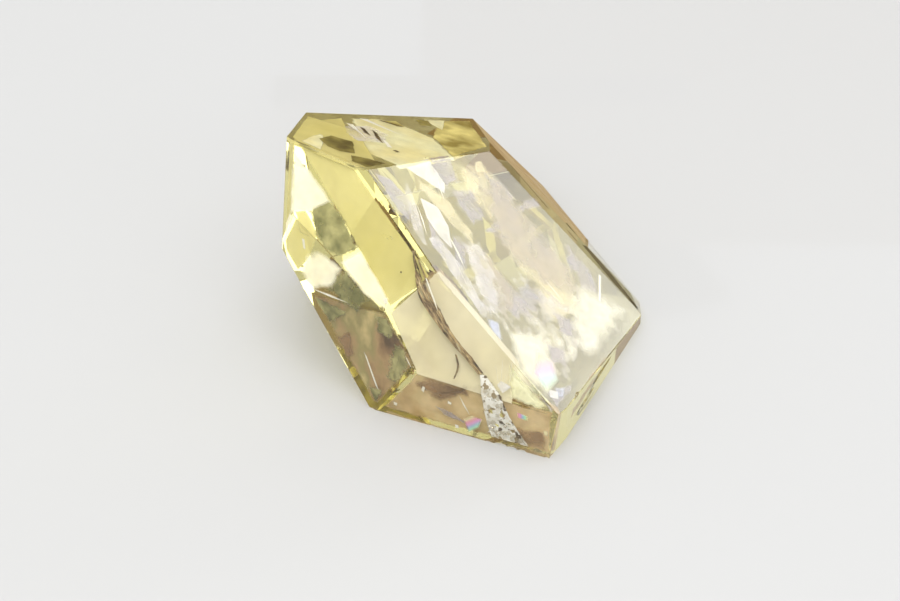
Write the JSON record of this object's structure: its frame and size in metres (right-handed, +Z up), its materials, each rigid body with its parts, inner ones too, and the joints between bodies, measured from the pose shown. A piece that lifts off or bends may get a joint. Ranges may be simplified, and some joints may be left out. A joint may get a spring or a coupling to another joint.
{
  "type": "citrine crystal point",
  "caption": "Clear pale-yellow citrine quartz crystal, ground and polished into a faceted block with a pointed tip, lying on its flat base.",
  "frame": {"origin": "middle of the crystal's footprint box, on the plane of its flat base", "axes": "+Z up from the base; +Y along the crystal's length, away from its pointed tip; +X towards the broad sloping face"},
  "size_m": [0.0392, 0.0494, 0.0253],
  "materials": {
    "citrine": "clear pale-yellow quartz, polished"
  },
  "bodies": {
    "root": {"citrine_crystal": "citrine"}
  },
  "joints": []
}
